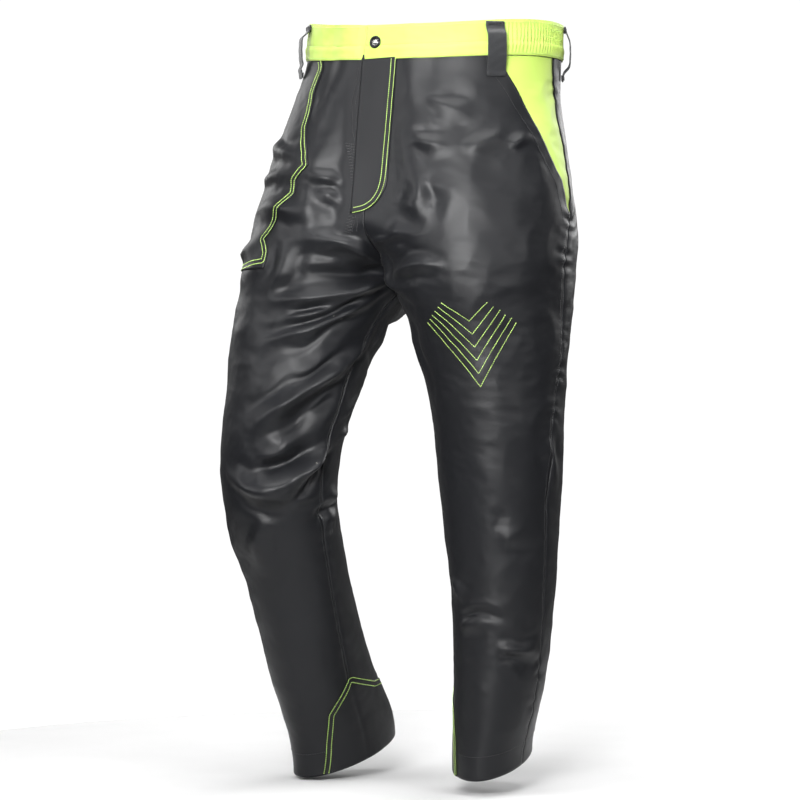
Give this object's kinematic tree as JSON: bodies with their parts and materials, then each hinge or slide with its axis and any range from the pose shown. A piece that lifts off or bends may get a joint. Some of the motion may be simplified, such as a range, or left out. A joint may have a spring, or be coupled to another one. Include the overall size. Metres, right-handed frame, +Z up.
{
  "type": "chainsaw protective trousers",
  "caption": "Full-length cut-protective work trousers, standing as worn, with a contrast waistband, belt loops, slanted hip pockets, zip fly and padded legs.",
  "frame": {"origin": "centre of the waist opening, level with the waist edge at the hips", "axes": "+Z up, the front faces -Y, +X is the wearer's left"},
  "size_m": [0.4475, 0.3928, 1.0321],
  "materials": {
    "outer_cloth": "satin twill",
    "lime_cloth": "plain woven",
    "webbing": "woven tape",
    "pad_fibre": "loose fibre",
    "lining_mesh": "knitted mesh",
    "pocket_cloth": "plain woven",
    "elastic": "ribbed",
    "button_metal": "satin",
    "zip_metal": "satin"
  },
  "bodies": {
    "trousers": {"front_panel_left": "outer_cloth", "front_panel_right": "outer_cloth", "back_panel_left": "outer_cloth", "back_panel_right": "outer_cloth", "hem_left": "outer_cloth", "hem_right": "outer_cloth", "ankle_patch_left": "outer_cloth", "ankle_patch_right": "outer_cloth", "hip_patch_right": "outer_cloth", "fly_placket": "outer_cloth", "fly_shield": "outer_cloth", "fly_facing_left": "outer_cloth", "fly_facing_right": "outer_cloth", "back_pocket_right": "outer_cloth", "waistband_left": "lime_cloth", "waistband_right": "lime_cloth", "pocket_facing_left": "lime_cloth", "pocket_facing_right": "lime_cloth", "belt_loop_front_left": "webbing", "belt_loop_front_right": "webbing", "belt_loop_side_left": "webbing", "belt_loop_side_right": "webbing", "belt_loop_back": "webbing", "zip_tape_left": "webbing", "zip_tape_right": "webbing", "cut_pad_left": "pad_fibre", "cut_pad_right": "pad_fibre", "lining_left": "lining_mesh", "lining_right": "lining_mesh", "waistband_lining": "lining_mesh", "pocket_bag_left": "pocket_cloth", "pocket_bag_right": "pocket_cloth", "waist_elastic_left": "elastic", "waist_elastic_right": "elastic", "waist_button_tack": "button_metal", "zip_teeth_left": "zip_metal", "zip_teeth_right": "zip_metal", "zip_stop_top_left": "zip_metal", "zip_stop_top_right": "zip_metal", "zip_stop_bottom": "zip_metal"},
    "zip_runner": {"zip_slider": "zip_metal", "zip_pull_tab": "zip_metal"},
    "button": {"waist_button_cap": "button_metal"},
    "pocket_flap": {"back_pocket_flap": "outer_cloth"}
  },
  "joints": [
    {"name": "zip_slide", "type": "slide", "parent": "trousers", "child": "zip_runner", "axis": [0, -0.1338, -0.991], "range_m": [0, 0.15]},
    {"name": "waist_button_spin", "type": "hinge", "parent": "trousers", "child": "button", "pos_m": [0, -0.1444, -0.04], "axis": [0, -0.991, 0.1338], "continuous": true},
    {"name": "back_pocket_flap_lift", "type": "hinge", "parent": "trousers", "child": "pocket_flap", "pos_m": [-0.12145, 0.0926, -0.106], "axis": [0.8679, 0.4968, 0], "range_deg": [0, 110]}
  ]
}
